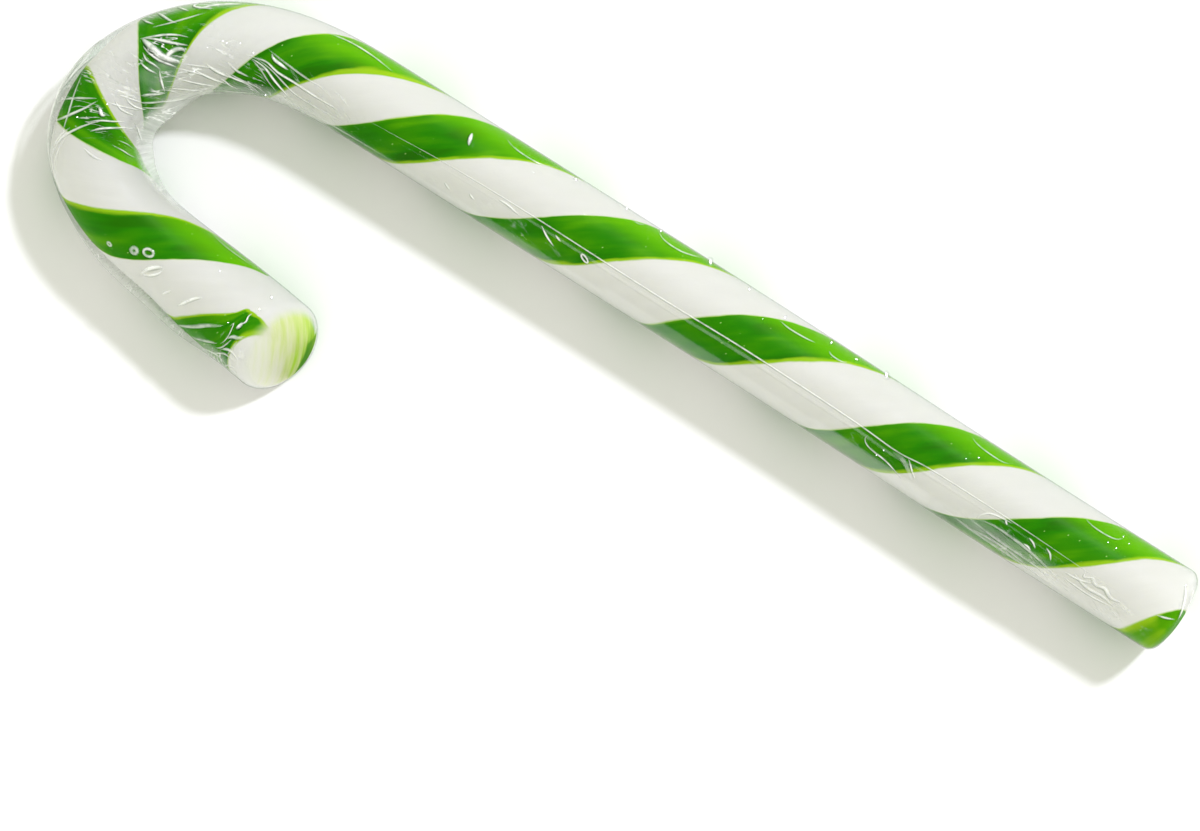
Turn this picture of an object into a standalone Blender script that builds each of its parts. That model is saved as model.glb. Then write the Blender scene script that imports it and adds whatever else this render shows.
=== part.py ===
"""A candy cane lying flat, in its skin of clear film.

The cane is made the way the real one is. A straight rod of candy has two green stripes along it.
It is twisted, so that the stripes wind round it, and then it is bent into a crook. The solid's
outside is the outside of the film, which clings to the candy and bridges the inside of the crook.

Metres, +Z up. The cane rests on z = 0 with its shaft along X: the shaft's cut end is at +X, the
crook at -X, and the short leg runs back along the shaft on its -Y side. The origin is the centre
of the base of the bounding box.
"""

import math

import bmesh
import bpy
import numpy as np

MM = 0.001

# The rod. Stations are distances along its middle line, from the shaft's cut end to the leg's tip.
ROD_RADIUS = 5.6 * MM
ROD_LENGTH = 195.0 * MM
FLAT_DEPTH = 0.2 * MM  # how much the rod has settled while it was soft, which leaves a flat foot
LEG_SWELL = 0.09  # share by which the leg is wider near its tip, where it was pressed to cut it
LEG_SWELL_SPAN = (172 * MM, 190 * MM)

# The cut ends: how far each one's blunt dome reaches, and how square its rim is (2 is an ellipse).
SHAFT_END_DEPTH = 2.1 * MM
LEG_END_DEPTH = 2.1 * MM
END_SQUARENESS = 2.3
END_RINGS = 5
# The leg is cut on a slant: its face leans back, so that it can be seen from above. The sections
# lean over to the cut by and by.
LEG_CUT_LEAN = math.radians(32)
LEG_CUT_SPAN = (186 * MM, 193 * MM)

# Bends and twists are each (first station, last station, degrees), eased in and out. The first two
# bends are the shaft's slight bow.
BENDS = (
    (10 * MM, 40 * MM, -0.9),
    (40 * MM, 80 * MM, 0.9),
    (116.5 * MM, 168.1 * MM, 92.8),
    (144.8 * MM, 174.9 * MM, 79.6),
)
TWIST_AT_SHAFT_END = math.radians(48)
TWIST_PER_METRE = math.radians(7820)
CROOK_TWISTS = (
    (97.6 * MM, 205.5 * MM, 203.5),
    (147.0 * MM, 160.8 * MM, 69.0),
)

# The film's webs, where it stands off the candy along one side. Each is (angle of the side, how
# far it stands off, the stretch where it lifts off, the stretch where it comes back down).
INSIDE = math.pi / 2
OUTSIDE = -math.pi / 2
WEBS = (
    (INSIDE, 1.5 * MM, (139 * MM, 149 * MM), (161 * MM, 173 * MM)),
    (OUTSIDE, 0.8 * MM, (164 * MM, 174 * MM), (181 * MM, 190 * MM)),
)

STRIPES = 2
STRIPE_WIDTH = math.radians(82)

SEGMENTS = 28  # points round the rod
COLUMN = math.tau / SEGMENTS
PATH_STEP = 0.1 * MM

WHITE_CANDY = (0.86, 0.85, 0.81, 1.0)
GREEN_CANDY = (0.05, 0.30, 0.005, 1.0)


def clear_scene():
    for leftover in list(bpy.data.objects):
        bpy.data.objects.remove(leftover)


def candy_material(name, colour):
    material = bpy.data.materials.new(name)
    material.diffuse_color = colour
    material.use_nodes = True
    shader = material.node_tree.nodes["Principled BSDF"]
    shader.inputs["Base Color"].default_value = colour
    shader.inputs["Roughness"].default_value = 0.18
    shader.inputs["Metallic"].default_value = 0.0
    return material


def ease(value, span):
    """0 before the span, 1 after it, and a smooth rise between."""
    share = np.clip((value - span[0]) / (span[1] - span[0]), 0.0, 1.0)
    return share * share * (3.0 - 2.0 * share)


def eased_sum(station, steps):
    """The degrees of all the (first, last, degrees) steps that a station has passed, in radians."""
    return sum(math.radians(degrees) * ease(station, (first, last)) for first, last, degrees in steps)


def heading(station):
    """Direction of travel along the middle line, in radians from +X. The shaft is travelled towards -X."""
    return math.pi + eased_sum(station, BENDS)


def twist(station):
    """Angle by which the straight rod's section is turned at a station, in radians."""
    return TWIST_AT_SHAFT_END + TWIST_PER_METRE * station + eased_sum(station, CROOK_TWISTS)


def middle_line():
    """Stations with the x and y of the rod's middle there, added up in short steps of the heading."""
    stations = np.arange(0.0, ROD_LENGTH + PATH_STEP, PATH_STEP)
    middle_of_step = heading(stations[:-1] + PATH_STEP / 2)
    x = np.concatenate(([0.0], np.cumsum(np.cos(middle_of_step)) * PATH_STEP))
    y = np.concatenate(([0.0], np.cumsum(np.sin(middle_of_step)) * PATH_STEP))
    return stations, x, y


def end_profile(depth):
    """(distance from the pole, share of the radius) for the rings of one blunt domed end, pole first."""
    rings = []
    for ring in range(END_RINGS):
        angle = math.pi / 2 * ring / END_RINGS
        across = math.sin(angle) ** (2 / END_SQUARENESS)
        along = 1 - math.cos(angle) ** (2 / END_SQUARENESS)
        rings.append((depth * along, across))
    return rings


def body_stations():
    """Stations of the rings between the two ends. Each ring is twisted one column further than the
    last, so the points of the twisted rod also line up straight along it."""
    body = np.arange(SHAFT_END_DEPTH, ROD_LENGTH - LEG_END_DEPTH, PATH_STEP)
    columns_turned = twist(body) / COLUMN
    whole = np.arange(math.ceil(columns_turned[0] + 0.3), math.floor(columns_turned[-1] - 0.3) + 1)
    return [body[0], *np.interp(whole, columns_turned, body), ROD_LENGTH - LEG_END_DEPTH]


def rod_profile():
    """(station, radius) of the straight rod's outline, from the shaft end's pole to the leg end's."""
    shaft_end = [(along, ROD_RADIUS * share) for along, share in end_profile(SHAFT_END_DEPTH)]
    body = [(station, ROD_RADIUS) for station in body_stations()]
    leg_end = [(ROD_LENGTH - along, ROD_RADIUS * share) for along, share in end_profile(LEG_END_DEPTH)]
    return shaft_end + body + leg_end[::-1]


def straight_rod():
    """The rod before it is twisted and bent: its outline spun about X, with its station as X."""
    rod = bmesh.new()
    outline = [rod.verts.new((station, 0.0, radius)) for station, radius in rod_profile()]
    edges = [rod.edges.new(pair) for pair in zip(outline, outline[1:])]
    bmesh.ops.spin(
        rod,
        geom=outline + edges,
        cent=(0, 0, 0),
        axis=(1, 0, 0),
        angle=math.tau,
        steps=SEGMENTS,
    )
    bmesh.ops.remove_doubles(rod, verts=rod.verts, dist=0.001 * MM)
    return rod


def lay_stripes(rod):
    """Gives the green material to whole columns of faces, evenly spaced round the straight rod."""
    for face in rod.faces:
        middle = face.calc_center_median()
        turn = math.atan2(middle.y, middle.z)
        from_stripe_middle = abs(math.remainder(turn, math.tau / STRIPES))
        face.material_index = int(from_stripe_middle < STRIPE_WIDTH / 2)


def web_lift(station, angle):
    """How many times further out than the candy the film is. A web is a wedge: both of its faces
    are flat, from its edge to where they meet the round of the candy."""
    lift = 1.0
    for edge_angle, reach, rise, fall in WEBS:
        height = reach * (ease(station, rise) - ease(station, fall))
        half_wedge = math.acos(ROD_RADIUS / (ROD_RADIUS + height))
        from_edge = abs(math.remainder(angle - edge_angle, math.tau))
        lift *= 1 / math.cos(max(0.0, half_wedge - from_edge))
    return lift


def section_point(station, angle, radius):
    """(forward, inward, up) of a surface point, in the section's own frame. Angle 0 is the top and
    a quarter turn is the inside of the crook."""
    radius *= web_lift(station, angle)
    swell = 1 + LEG_SWELL * ease(station, LEG_SWELL_SPAN)
    inward = math.sin(angle) * radius * swell
    up = math.cos(angle) * radius
    forward = -up * math.tan(LEG_CUT_LEAN) * ease(station, LEG_CUT_SPAN)
    return forward, inward, up


def twist_and_bend(rod):
    """Moves every point of the straight rod to its place on the finished cane, resting on z = 0."""
    stations, line_x, line_y = middle_line()
    for vertex in rod.verts:
        station, radius = vertex.co.x, math.hypot(vertex.co.y, vertex.co.z)
        angle = math.atan2(vertex.co.y, vertex.co.z) + twist(station)
        forward, inward, up = section_point(station, angle, radius)
        along = heading(station)
        x = np.interp(station, stations, line_x)
        y = np.interp(station, stations, line_y)
        vertex.co.x = x + forward * math.cos(along) - inward * math.sin(along)
        vertex.co.y = y + forward * math.sin(along) + inward * math.cos(along)
        vertex.co.z = max(0.0, ROD_RADIUS - FLAT_DEPTH + up)


def centre_on_origin(rod):
    """Moves the cane sideways, until the origin is the centre of its bounding box."""
    for axis in (0, 1):
        places = [vertex.co[axis] for vertex in rod.verts]
        middle = (min(places) + max(places)) / 2
        for vertex in rod.verts:
            vertex.co[axis] -= middle


def build_candy_cane(collection):
    rod = straight_rod()
    lay_stripes(rod)
    twist_and_bend(rod)
    centre_on_origin(rod)
    bmesh.ops.triangulate(rod, faces=rod.faces, quad_method="SHORT_EDGE")
    rod.normal_update()
    bmesh.ops.recalc_face_normals(rod, faces=rod.faces)
    mesh = bpy.data.meshes.new("candy_cane")
    rod.to_mesh(mesh)
    rod.free()
    mesh.materials.append(candy_material("white_candy", WHITE_CANDY))
    mesh.materials.append(candy_material("green_candy", GREEN_CANDY))
    mesh.shade_smooth()
    collection.objects.link(bpy.data.objects.new("candy_cane", mesh))


def main():
    clear_scene()
    collection = bpy.data.collections.new("Candy_cane")
    bpy.context.scene.collection.children.link(collection)
    build_candy_cane(collection)


main()
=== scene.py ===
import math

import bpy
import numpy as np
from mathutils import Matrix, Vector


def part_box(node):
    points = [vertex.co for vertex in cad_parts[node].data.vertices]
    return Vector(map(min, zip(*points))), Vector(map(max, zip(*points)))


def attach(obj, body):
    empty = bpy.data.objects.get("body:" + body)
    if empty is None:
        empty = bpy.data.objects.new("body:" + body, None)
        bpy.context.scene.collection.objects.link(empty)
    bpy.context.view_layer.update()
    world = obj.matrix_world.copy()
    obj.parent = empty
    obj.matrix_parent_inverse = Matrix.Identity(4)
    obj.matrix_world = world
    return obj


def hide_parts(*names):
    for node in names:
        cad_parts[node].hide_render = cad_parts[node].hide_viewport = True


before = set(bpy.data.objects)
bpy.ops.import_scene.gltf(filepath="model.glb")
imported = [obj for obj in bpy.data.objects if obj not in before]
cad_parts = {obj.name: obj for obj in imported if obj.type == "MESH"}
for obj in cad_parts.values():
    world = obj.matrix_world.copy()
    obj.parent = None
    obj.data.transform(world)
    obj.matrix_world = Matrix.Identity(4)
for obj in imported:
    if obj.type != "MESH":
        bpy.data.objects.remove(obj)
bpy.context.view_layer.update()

# The looks of a candy cane in its skin of clear film: the candy with its two green stripes, the film
# over it with its seam, folds and blisters, and a white table under a hard key light and a soft fill.
# The candy and the film are built on the CAD model's own path, from the same named values.

MM = 0.001
CANE = "candy_cane"
BODY = "root"

# The rod of the CAD model. Stations are distances along its middle line from the shaft's cut end, and
# angles round its section are 0 at the top and a quarter turn on the inside of the crook.
INSIDE = math.pi / 2
OUTSIDE = -math.pi / 2
ROD_LENGTH = 195.0 * MM
FLAT_DEPTH = 0.2 * MM
LEG_SWELL = 0.09
LEG_SWELL_SPAN = (172 * MM, 190 * MM)
SHAFT_END_DEPTH = 2.1 * MM
LEG_END_DEPTH = 2.1 * MM
END_SQUARENESS = 2.3
LEG_CUT_LEAN = math.radians(32)
LEG_CUT_SPAN = (186 * MM, 193 * MM)
BENDS = (
    (10 * MM, 40 * MM, -0.9),
    (40 * MM, 80 * MM, 0.9),
    (116.5 * MM, 168.1 * MM, 92.8),
    (144.8 * MM, 174.9 * MM, 79.6),
)
TWIST_AT_SHAFT_END = math.radians(48)
TWIST_PER_METRE = math.radians(7820)
CROOK_TWISTS = (
    (97.6 * MM, 205.5 * MM, 203.5),
    (147.0 * MM, 160.8 * MM, 69.0),
)
# Webs of the film: (angle of the side, how far it stands off, where it lifts off, where it comes back).
WEBS = (
    (INSIDE, 1.5 * MM, (139 * MM, 149 * MM), (161 * MM, 173 * MM)),
    (OUTSIDE, 0.8 * MM, (164 * MM, 174 * MM), (181 * MM, 190 * MM)),
)
PATH_STEP = 0.1 * MM

# The stripes.
STRIPE_WIDTH = math.radians(82)
# Where each edge of the stripes crosses the candy at -50, 0 and 50 degrees: stations in mm. The edges
# wander a little from the even twist. Each stripe has its near and its far edge; the first starts
# before the rod does, and the last is past its end.
EDGE_ANGLES = (-50.0, 0.0, 50.0)
STRIPE_EDGES = (
    ((-16, -8.5, -5), (-4.5, 2, 5.4)),
    ((6.8, 12.5, 18.3), (16.1, 23, 29.7)),
    ((27.9, 34.2, 39.4), (37.1, 43.9, 49.2)),
    ((50.5, 57.8, 63.6), (60.6, 68.3, 73.2)),
    ((73.5, 80.7, 86.4), (83.7, 90.8, 97.1)),
    ((96, 103.7, 109.5), (106.9, 113.3, 118.4)),
    ((115.2, 122.9, 127.9), (126, 131.7, 136.7)),
    ((136.1, 140.9, 145.1), (146, 147.6, 151)),
    ((151.7, 153.3, 157.6), (157.6, 159.6, 163.5)),
    ((164.6, 168.1, 174), (172, 177.1, 183.2)),
    ((182.2, 187.2, 196), (191.8, 194.3, 199)),
    ((206, 212, 217), (216, 222, 227)),
)
TIP_UNTWIST = math.radians(47)  # the cut held the leg's tip, which took less of the twist
TIP_UNTWIST_SPAN = (182 * MM, 192 * MM)
EDGES_HOLD = (60.0, 170.0)  # degrees from the top over which the edges go back to the even twist
# The last stripe is cut off beyond this station: the angle where it ends, how far past that angle the
# cut reaches, how steeply it closes, and how round its corner is.
LAST_STRIPE_FROM = 187.3 * MM
STRIPE_END = math.radians(15)
STRIPE_END_REACH = math.radians(80)
STRIPE_END_SLOPE = 1.3
STRIPE_END_ROUND = 0.015
# Where the green has bled into the white along its edges: (stations, angles, how much).
BLEEDS = (
    ((-4, 9), (5, 120), 1.7),
    ((106, 130), (-90, 15), 0.28),
    ((188, 199), (-60, 40), 1.0),
)
BLEED_FADE = (7.0, 30.0)  # mm along and degrees round, over which it fades out

# The candy, which lies just inside the film.
CANDY_INSET = 0.10 * MM
# Hollows of the candy under the film: (angle of the side, depth, where it starts, where it ends).
HOLLOWS = (
    (OUTSIDE, 0.9 * MM, (145 * MM, 151 * MM), (154 * MM, 161 * MM)),
    (OUTSIDE, 0.35 * MM, (160 * MM, 166 * MM), (176 * MM, 183 * MM)),
)
CANDY_RINGS = 560
CANDY_COLUMNS = 120
END_RINGS = 14
POLE_ANGLE = 0.06  # radians from an end's pole to its smallest ring

# The candy's colours. Ramps are (share, colour) steps from the darkest part to the lightest.
WHITES = ((0.3, (0.62, 0.61, 0.59)), (0.7, (0.645, 0.635, 0.615)))
GREENS = (
    (0.36, (0.018, 0.150, 0.001)),
    (0.46, (0.020, 0.205, 0.001)),
    (0.55, (0.036, 0.235, 0.001)),
    (0.66, (0.076, 0.305, 0.001)),
)
FRINGE_GREEN = (0.30, 0.52, 0.012)  # the thin edge of a stripe, where the white shows through it
SPECK_GREEN = (0.40, 0.66, 0.20)
# Painted light on its flank under the key light: there the green is painted paler and yellower and the
# white darker. These are the colours there, their largest share, and the span over which they come in,
# as the cosine between the surface's normal and the light's bearing.
PAINTED_KEY_SIDE_WHITE = (0.51, 0.505, 0.49)
PAINTED_KEY_SIDE_GREEN = (0.130, 0.460, 0.003)
PAINTED_KEY_SIDE_SHARE = 0.75
PAINTED_KEY_SIDE_SPAN = (0.15, 0.85)
# The cut face of the leg: pale candy with pulled green in it, and a dark green rim on its low side.
CORES = (
    (0.05, (0.62, 0.635, 0.52)),
    (0.33, (0.575, 0.63, 0.36)),
    (0.60, (0.49, 0.60, 0.21)),
    (0.87, (0.32, 0.54, 0.04)),
)
CORE_RIM = (0.05, 0.22, 0.005)
CORE_RIM_SIDE = (0.55, -0.85)  # which way the low side lies: inwards and up
# Sizes of the candy's patterns: how many per mm across the rod, twice, and along it.
RAGGED_EDGES = (0.9, 0.9, 0.3)
WHITE_CLOUDS = (0.8, 0.8, 0.2)
GREEN_BLOTCHES = (0.30, 0.30, 0.13)
GREEN_STREAKS = (1.5, 1.5, 0.14)
FRINGE_CHANGES = (0.5, 0.5, 0.25)
PITS = (2.4, 2.4, 1.8)
CORE_FIBRES = (4.5, 0.5, 0.0)
SPECKS_PER_MM = 1.1
GLOW_DEPTH = 30.0 * MM  # how far light goes through the candy

# The film. Its pieces are (name, first and last station, rings, points round). Places on it are
# (station in mm, angle round the section in degrees).
FILM_PARTS = (
    ("film_shaft", (0.6 * MM, 117 * MM), 560, 160),
    ("film_bend", (117 * MM, 142 * MM), 270, 300),
    ("film_crook", (142 * MM, 166 * MM), 290, 320),
    ("film_leg", (166 * MM, 194.2 * MM), 300, 300),
)
FILM_LIFT = 0.03 * MM  # how far the folds stand off the film under them
FOLD_STEP = 0.15 * MM
# How high the film is lifted along a fold, how broad that ridge is, and how far from the fold it is
# worked out, as shares of the fold's width.
RELIEF_HEIGHT = 0.48
RELIEF_BREADTH = 0.8
RELIEF_REACH = 3
FOLD_HEIGHT = 0.33  # height of a fold as a share of its width
FOLD_PROFILE = (-1.9, -1.3, -0.9, -0.5, 0.0, 0.5, 0.9, 1.3, 1.9)  # across a fold, whose edges are at 1
FOLD_WIDENING = 1.35
FOLD_LEAST = 0.05  # a fold's width at its tips, as a share of its full width
# The dark line that a fold leaves on its side away from the key light: how dark it is, how far from
# the fold's middle, and how broad, as shares of half the fold's width.
FOLD_SHADE = 1.3
SHADE_AT = 1.25
SHADE_BREADTH = 0.35
FOLD_END = 0.35 * MM  # how near to the ends of the rod a fold may come
SEAM_LOOK = (0.15, 0.66)  # width in mm, and how white
UNDER_SEAM_LOOK = (0.35, 0.12)  # the edge of the film under the seam, which shows beside it
UNDER_SEAM_TURN = 7  # degrees from the seam
SEAM = (
    (118, 31), (116.2, 26), (112.3, 23), (104.5, 18), (93.3, 16), (75, 17), (62.5, 15),
    (47.5, 16), (40.6, 18.5), (35.9, 14), (26.3, 13), (20, 14), (13.7, 16), (8, 17),
)
# Each fold is (width in mm, how white it is, places that it runs through).
SHAFT_FOLDS = (
    (0.2, 0.42, ((94.2, -64), (95, -55), (96.4, -49), (98.4, -48), (100, -51), (101.2, -58))),
    (0.22, 0.48, ((73.2, -68), (74.2, -60), (75.4, -54), (77.2, -52), (78.6, -56), (79.3, -66))),
    (0.18, 0.36, ((81.2, -62), (81.8, -55), (82.8, -53))),
    (0.2, 0.46, ((61.2, -43), (59.8, -40), (57.6, -41), (56, -44))),
    (0.18, 0.42, ((54.2, -46), (53.6, -41), (52.2, -41), (51.4, -46))),
    (0.18, 0.4, ((33.8, -60), (33.2, -52), (31.6, -48), (29.2, -48), (28, -54))),
    (0.18, 0.4, ((17, -44), (15.8, -39), (14, -38), (12.4, -41), (11.6, -50))),
    (0.34, 0.95, ((104.9, -33), (104.7, -24), (104.4, -15))),
    (0.2, 0.85, ((104.6, 42), (103.4, 49))),
    (0.2, 0.85, ((101.3, 36), (100.3, 41))),
    (0.2, 0.8, ((98, 22), (96.6, 21), (94.7, 25))),
    (0.2, 0.85, ((91.8, 20), (90.5, 29), (89.1, 36))),
    (0.2, 0.8, ((89.8, 21), (88.7, 25))),
    (0.18, 0.75, ((44.7, 20), (44.6, 29), (43.6, 35), (41.2, 38), (39.6, 43), (38, 50))),
    (0.18, 0.8, ((39, 18), (38.4, 23), (37.8, 29), (36.8, 38))),
    (0.45, 0.25, ((41.1, 22), (39.6, 23), (38.2, 31), (37, 42))),
    (0.18, 0.8, ((25.1, 16), (24.5, 21))),
    (0.2, 0.85, ((21.7, 30), (21, 30), (20.4, 33))),
    (0.18, 0.8, ((21.5, 19), (20.7, 22), (20.1, 27))),
    (0.18, 0.75, ((19.1, 18), (18.3, 22), (17.7, 30))),
    (0.3, 0.45, ((28.7, 59), (25.9, 53), (22.3, 53), (18, 62))),
    (0.3, 0.4, ((28, 36), (25.8, 31), (22.6, 32), (19.7, 36), (15, 48))),
    (0.18, 0.7, ((28.1, 37), (27.9, 29), (26.8, 19), (24, 15))),
    (0.22, 0.65, ((15.8, 33), (13.4, 30), (11.8, 24))),
    (0.22, 0.6, ((15.5, 40), (11.5, 42), (8.4, 39))),
    (0.2, 0.6, ((13.5, 16), (13.3, 24), (12.3, 19), (11.5, 25))),
    (0.26, 0.9, ((2.4, -40), (1.6, -24), (1.1, -10), (0.8, 6))),
    (0.2, 0.7, ((3.6, 16), (2.2, 12), (1.2, 8))),
    (0.3, 0.7, ((1.2, -46), (0.7, -34), (0.5, -22))),
    (0.34, 0.6, ((12.8, 18), (11.6, 24), (10.4, 22), (9.2, 28), (7.6, 26))),
    (0.3, 0.55, ((14.8, 26), (12.4, 34), (10, 33), (8, 38))),
    (0.36, 0.35, ((30, 40), (25, 46), (20, 48), (14, 54))),
    (0.4, 0.35, ((32, 52), (27, 58), (21, 60), (15, 66))),
)
CROOK_FOLDS = (
    (0.22, 0.6, ((126, -52), (123, -56), (120, -54), (117, -48))),
    (0.24, 0.8, ((134, 10), (132.8, 13), (131.2, 15), (129.4, 24), (127, 29), (124, 34), (120, 36))),
    (0.24, 0.9, ((133.6, 13), (131.4, 22), (129.6, 36), (127.6, 50), (126.2, 60))),
    (0.16, 0.6, ((133.2, 15), (131.8, 26), (130.4, 40), (128.6, 56))),
    (0.14, 0.5, ((133, 12), (130.8, 21), (128.4, 34), (126, 46), (122, 52))),
    (0.14, 0.45, ((132.6, 14), (130.2, 24), (127.8, 38), (124.8, 48), (118, 50))),
    (0.3, 0.85, ((130.8, 3), (130.4, 9), (129.4, 13), (128.2, 17))),
    (0.2, 0.4, ((131.4, -1), (129, 9), (126, 17), (123, 20))),
    (0.28, 0.9, ((137, 35), (135.6, 44), (133.6, 51), (132.4, 58), (131.2, 68))),
    (0.2, 0.8, ((137.6, 44), (136.6, 52), (135.8, 60), (134.4, 68))),
    (0.2, 0.65, ((136.4, 36), (134.4, 46), (132, 54), (130.6, 62))),
    (0.18, 0.6, ((143.6, 20), (141.2, 32), (139.2, 42), (137.6, 56))),
    (0.18, 0.5, ((143, 16), (140.6, 24), (138.4, 30), (136.2, 38))),
    (0.3, 0.85, ((139.4, 22), (138.2, 32), (136.8, 40), (135.2, 46))),
    (0.26, 0.8, ((141.4, 26), (139.8, 38), (138.2, 48), (136, 58))),
    (0.24, 0.75, ((143.8, 34), (141.8, 46), (139.6, 56), (137, 64))),
    (0.22, 0.75, ((145.4, 44), (143.2, 56), (141, 66), (138.6, 72))),
    (0.26, 0.8, ((136, 26), (134.8, 34), (133.2, 40))),
    (0.22, 0.7, ((148.4, 56), (146.4, 66), (144.4, 74), (142.4, 80))),
    (0.24, 0.75, ((151.6, 20), (151.8, 34), (151.4, 46), (150.6, 58))),
    (0.22, 0.7, ((152.8, 12), (153.4, 24), (153.4, 36), (153, 50))),
    (0.22, 0.65, ((154.4, 52), (155.2, 62), (156.8, 70), (158.8, 76))),
    (0.2, 0.75, ((138.6, 66), (137, 74), (134.6, 76), (131, 70))),
    (0.18, 0.5, ((144.6, 80), (141.1, 80), (137.6, 72))),
    (0.18, 0.5, ((127.1, 57), (123, 68), (119.1, 66), (112, 62))),
    (0.34, 0.75, ((134.8, -66), (136.4, -64), (138.2, -60), (139.6, -54))),
    (0.24, 0.7, ((139.4, -76), (139.9, -66), (139.4, -58), (138, -52))),
    (0.22, 0.6, ((141.6, -76), (141.2, -64), (140.4, -52))),
    (0.24, 0.6, ((143.6, -72), (143.2, -58), (142.6, -44), (141.8, -34))),
    (0.2, 0.55, ((145.2, -66), (144.8, -54), (144.2, -44))),
    (0.2, 0.5, ((138.6, -46), (140.6, -40), (142.6, -38), (144.6, -40))),
    (0.22, 0.7, ((140.8, -12), (142, -18), (143.4, -23), (145, -27), (146.2, -31))),
    (0.26, 0.75, ((141, -2), (142.4, -8), (143.8, -16), (145.2, -26), (146, -30))),
    (0.62, 1, ((145.9, -30), (145.5, -20), (145, -8), (144.6, 1), (143.6, 9), (142.4, 17))),
    (0.22, 0.8, ((146.1, -20), (145.8, -8), (145, 5), (144, 14), (143, 22))),
    (0.2, 0.7, ((146.4, -12), (146.4, -2), (145.8, 8), (145.2, 18))),
    (0.44, 0.85, ((141.6, 6), (141.8, 1), (142.6, -1), (143.6, 2), (143.9, 7), (143, 12))),
    (0.24, 0.95, ((145.4, 16), (145.7, 26), (145.9, 36), (146.1, 49))),
    (0.2, 0.7, ((147.2, -4), (147, 4), (146.6, 12), (145.9, 20))),
    (0.3, 0.8, ((149.6, 34), (148.4, 40), (147.2, 46), (146, 51))),
    (0.26, 0.6, ((150.6, 40), (149.4, 50), (148, 58), (146, 66))),
    (0.2, 0.6, ((151.2, 46), (150, 58), (148.8, 66), (147, 74))),
    (0.18, 0.55, ((146.6, 40), (145.2, 50), (144, 62))),
    (0.22, 0.65, ((154, -4), (155.4, -16), (156.4, -32), (157, -48), (157.2, -62))),
    (0.2, 0.6, ((156, 12), (157, -6), (157.9, -24), (158.8, -44), (160.4, -66), (161.4, -76))),
    (0.18, 0.55, ((157.6, -28), (158.6, -46), (159.6, -60), (160.8, -74))),
    (0.18, 0.45, ((158.2, -30), (159.8, -48), (161, -60), (162.6, -72))),
    (0.18, 0.5, ((155.4, -58), (155, -40), (154.4, -20), (153.8, -6))),
    (0.4, 0.8, ((150.4, -72), (150.8, -64), (152, -60), (153.6, -64), (154.6, -74))),
    (0.55, 0.95, ((149.6, -70), (152, -74), (154.6, -77), (157.4, -77), (160, -74), (162.6, -68))),
    (0.22, 0.65, ((150, -78), (150.4, -70), (151.4, -66), (152.8, -70))),
    (0.2, 0.55, ((152.6, -44), (154.6, -38), (156.4, -36), (158.4, -40))),
    (0.2, 0.5, ((159.6, -10), (160.8, 2), (161.6, 12))),
    (0.34, 0.95, ((154.6, 0), (155, 4), (155.4, 8), (155.2, 12))),
    (0.24, 0.8, ((157.8, -2), (157.3, 8), (156.9, 20), (156.4, 34), (155.8, 48))),
    (0.2, 0.7, ((156.6, -4), (156.1, 10), (155.7, 24), (154.9, 40))),
    (0.2, 0.55, ((153.6, 6), (153.2, 20), (152.4, 36), (151.6, 50))),
    (0.2, 0.5, ((152, 10), (151.4, 24), (150.6, 38), (149.8, 52))),
    (0.24, 0.65, ((150.2, -50), (151.4, -54), (152.8, -60), (154, -68))),
    (0.18, 0.55, ((159.4, 26), (160.4, 40), (161.4, 50), (162.4, 62))),
    (0.16, 0.45, ((158.6, 34), (159.2, 48), (160.2, 60))),
)
LEG_FOLDS = (
    (0.4, 0.95, ((175.2, -42), (175.3, -32), (175.9, -22), (176.8, -14))),
    (0.26, 0.8, ((175.2, -42), (176.1, -34), (176.8, -24), (176.9, -15))),
    (0.3, 0.85, ((181, -42), (181.4, -32), (182, -20), (182.8, -11))),
    (0.26, 0.7, ((178.7, -44), (178.9, -38), (179.3, -30))),
    (0.5, 1, ((191.2, -13), (191.6, -8), (191.9, -3))),
    (0.22, 0.95, ((191.7, -6), (192.1, 0), (191.8, 6), (191.9, 12))),
    (0.22, 0.9, ((189, -42), (189.9, -34), (190.3, -25), (190, -16), (189.3, -11), (188.6, -17))),
    (0.4, 0.5, ((182.2, -76), (183.2, -62), (184.4, -46), (185.6, -32), (187.2, -20))),
    (0.34, 0.42, ((184.2, -78), (185.4, -64), (186.8, -52), (188.4, -44))),
    (0.26, 0.6, ((186.2, -80), (187.6, -68), (189.4, -62), (191.4, -66))),
    (0.34, 0.55, ((190.2, -30), (191.4, -24), (192.6, -20), (193.2, -14))),
    (0.3, 0.6, ((189.8, -48), (191.2, -42), (192.6, -40), (193.4, -46))),
    (0.24, 0.6, ((188, -66), (189.6, -56), (191, -50), (192.8, -50))),
    (0.24, 0.5, ((190.6, -74), (191.8, -64), (193, -60))),
    (0.22, 0.6, ((188.4, -52), (189.6, -46), (190.8, -36), (191.6, -26))),
    (0.2, 0.45, ((191.4, -52), (192.2, -36), (192.6, -24))),
    (0.16, 0.4, ((178.5, 70), (181.1, 65), (184.7, 68))),
)
# Small closed blisters are (width, how white, place, half length, half breadth, turn in degrees), with
# sizes in mm.
BLISTER_POINTS = 33
BLISTERS = (
    (0.18, 0.7, (85.2, 27), 0.62, 0.24, -25),
    (0.26, 0.62, (174.3, -12), 0.62, 0.44, 20),
    (0.36, 0.5, (172.8, -22), 0.36, 0.34, 0),
    (0.22, 0.5, (170.2, -40), 0.24, 0.2, 0),
)
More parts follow.
